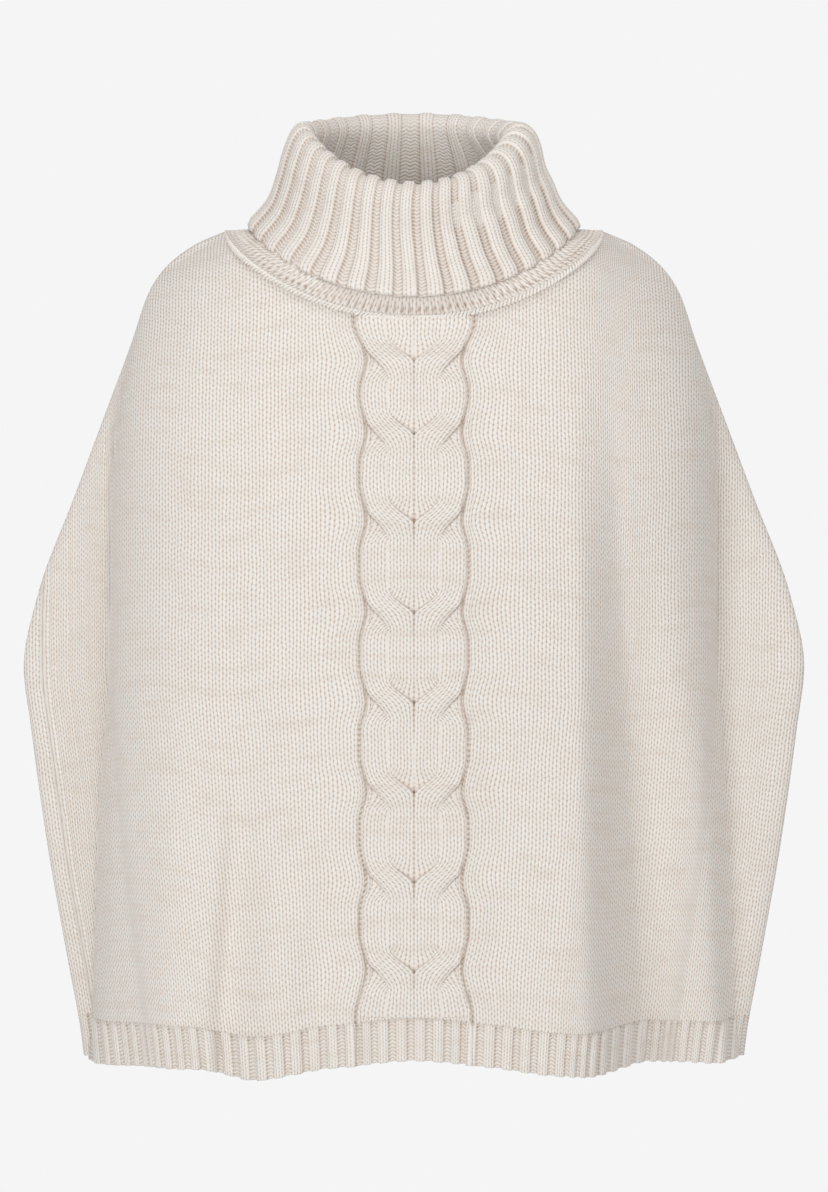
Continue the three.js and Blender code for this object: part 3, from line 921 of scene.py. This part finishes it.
def neckband(material):
    """Stitches picked up along the neck edge, as a soft band with a slot between each two."""
    count = NECK_STITCHES * 6
    turn = (np.arange(count) + 0.5) / count * 2 * math.pi
    low = neck_seam(turn)
    around = np.concatenate([[0], np.cumsum(np.linalg.norm(np.diff(low, axis=0), axis=-1))])
    whole = around[-1] + np.linalg.norm(low[0] - low[-1])
    stitch = around / whole * NECK_STITCHES
    high = collar_middle(turn, np.array([0.0]))[:, 0]
    rows = np.linspace(0, 1, 20)
    grid = low[:, None] + (high - low)[:, None] * rows[None, :, None]
    outward = grid.copy()
    outward[..., 2] = 60
    square = normals(grid, closed=True)
    square *= np.where((square * outward).sum(axis=-1, keepdims=True) < 0, -1, 1)
    puff = ease(rows, 0.0, 0.8) * (1 - ease(rows, 0.8, 1.0))
    rib = 0.5 + 0.5 * np.cos(2 * math.pi * stitch)[:, None]
    slot = (1 - rib) ** 7 * bell((rows - 0.28) / 0.11)
    ahead = 0.25 + 0.75 * np.abs(np.cos(turn))[:, None]
    inner = grid - square * (WALL["neckband"] - 0.4)
    proud = 0.4 + (5.0 * ahead + 0.9 * rib) * puff + 0.5 * rib - 2.8 * slot
    grid = grid + square * proud[..., None]
    slant = np.sin(turn)[:, None] * rows * 3.5
    u = stitch[:, None] + slant + 0.25
    uv = np.stack(np.broadcast_arrays(u, rows * 5.0), axis=-1)
    # Painted shade in the slots between stitches.
    crease = np.minimum(0.85 * slot, 1)
    build = Build()
    build.ring(grid, inner, uv, uv, crease)
    return placed(build.mesh("neck_band", material), "neckband")


def neck_chain(material):
    """A chain of stitches that lies along the neck edge, over the join."""
    count, round_count = NECK_STITCHES * 8, 8
    turn = np.arange(count) / count * 2 * math.pi
    line = neck_seam(turn)
    way = np.roll(line, -1, axis=0) - np.roll(line, 1, axis=0)
    way /= np.linalg.norm(way, axis=-1, keepdims=True)
    out = np.stack([0.7 * np.sin(turn), -np.cos(turn), np.full_like(turn, 0.25)], axis=-1)
    out -= (out * way).sum(axis=-1, keepdims=True) * way
    out /= np.linalg.norm(out, axis=-1, keepdims=True)
    side = np.cross(way, out)
    around = np.concatenate([[0], np.cumsum(np.linalg.norm(np.diff(line, axis=0), axis=-1))])
    around = around / (around[-1] + np.linalg.norm(line[0] - line[-1])) * NECK_STITCHES
    ahead = ease(np.abs(np.cos(turn)), 0.0, 0.5)
    build = Build()
    for shift in (0.0, 0.5):
        swing = np.cos(2 * math.pi * (around + shift))
        swell = np.sin(2 * math.pi * (around + shift))
        thick = (1.3 + 0.45 * swell) * (0.35 + 0.65 * ahead)
        middle = line + out * ((2.7 + 0.8 * swell) * ahead)[:, None]
        middle = middle + side * (1.5 * swing * (0.3 + 0.7 * ahead))[:, None]
        angle = np.linspace(0, 2 * math.pi, round_count + 1)
        away = np.cos(angle)[None, :, None] * out[:, None]
        away = away + np.sin(angle)[None, :, None] * side[:, None]
        ring = middle[:, None] + thick[:, None, None] * away
        u = 0.18 + 0.14 * np.cos(angle)[None, :] + 0 * around[:, None]
        uv = np.stack([u, around[:, None] * 1.5 + 0 * u], axis=-1)
        ids = build.grid(ring[:, :-1], uv[:, :-1], closed=True, flip=True)
        last, first = ids[:, -1], ids[:, 0]
        build.strip(looped(last), looped(first), uv[0, 0], flip=True)
    piece = build.mesh("neck_chain", material)
    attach(piece, "root")
    return piece


# ---------------------------------------------------------------- camera, stage and light

CAMERA = {"distance": 3.5, "elevation": 3.0, "target": (0.0, 0.0, -0.291), "frame_height": 0.9536}
SENSOR = 36.0
PALE = 0.913  # the backdrop as the camera sees it
SOFT_LIGHT = {"world": 0.52, "floor": 0.6}
FLOOR_Z = -1.3


def aim(obj, target):
    way = Vector(target) - obj.location
    obj.rotation_mode = "QUATERNION"
    obj.rotation_quaternion = way.to_track_quat("-Z", "Y")


def make_camera():
    data = bpy.data.cameras.new("camera")
    camera = bpy.data.objects.new("camera", data)
    bpy.context.collection.objects.link(camera)
    rise = math.radians(CAMERA["elevation"])
    back = Vector((0, -math.cos(rise), math.sin(rise))) * CAMERA["distance"]
    camera.location = Vector(CAMERA["target"]) + back
    aim(camera, CAMERA["target"])
    data.sensor_width = SENSOR
    data.lens = SENSOR * CAMERA["distance"] / CAMERA["frame_height"]
    data.clip_end = 50
    bpy.context.scene.camera = camera


def area_light(name, place, size, power, colour=(1, 1, 1)):
    data = bpy.data.lights.new(name, "AREA")
    data.shape = "DISK"
    data.size = size
    data.energy = power
    data.color = colour
    light = bpy.data.objects.new(name, data)
    bpy.context.collection.objects.link(light)
    light.location = place
    aim(light, (0, 0, -0.25))


def plain_light(tree, seen, lit):
    """Light that the camera sees as the pale backdrop, and that lights the garment more softly."""
    path = tree.nodes.new("ShaderNodeLightPath")
    mix = tree.nodes.new("ShaderNodeMix")
    mix.inputs[2].default_value = lit
    mix.inputs[3].default_value = seen
    tree.links.new(path.outputs["Is Camera Ray"], mix.inputs[0])
    return mix.outputs[0]


def make_stage():
    world = bpy.data.worlds.new("studio")
    bpy.context.scene.world = world
    world.use_nodes = True
    tree = world.node_tree
    background = tree.nodes["Background"]
    background.inputs[0].default_value = (1, 1, 1, 1)
    tree.links.new(plain_light(tree, PALE, SOFT_LIGHT["world"]), background.inputs[1])

    bpy.ops.mesh.primitive_plane_add(size=30, location=(0, 0, FLOOR_Z))
    floor = bpy.context.object
    floor.name = "floor"
    material = bpy.data.materials.new("pale_floor")
    material.use_nodes = True
    tree = material.node_tree
    tree.nodes.clear()
    glow = tree.nodes.new("ShaderNodeEmission")
    tree.links.new(plain_light(tree, PALE, SOFT_LIGHT["floor"]), glow.inputs["Strength"])
    output = tree.nodes.new("ShaderNodeOutputMaterial")
    tree.links.new(glow.outputs[0], output.inputs[0])
    floor.data.materials.append(material)


def make_light():
    area_light("key", (-2.1, -4.3, -0.4), 1.8, 61, (0.96, 0.99, 1.0))
    area_light("front", (0.4, -4.7, -0.1), 2.2, 31, (0.96, 0.985, 1.0))
    area_light("above", (0.0, -0.45, 0.85), 0.5, 1.8, (1.0, 0.995, 0.985))
    area_light("fill", (2.2, -3.4, 0.2), 2.6, 14, (0.985, 0.985, 1.0))
    area_light("back_rim", (0.5, 2.6, 1.4), 2.0, 16)
    bpy.context.scene.view_settings.view_transform = "Standard"


# ---------------------------------------------------------------- the garment


def garment():
    plain = knit_material("stockinette_knit")
    ribbed = knit_material("rib_knit", rib=True)
    band = knit_material("neckband_knit")
    front = panel("front", plain, 1.15, 3.3, 30, 165)
    back = panel("back", plain, 4.2, 4.2, 0, 130)
    strands = cable(plain)
    hem_front = hem("front", ribbed)
    hem_back = hem("back", ribbed)
    ring = neckband(band)
    chain = neck_chain(band)
    roll = collar(ribbed)


make_camera()
make_stage()
make_light()
garment()
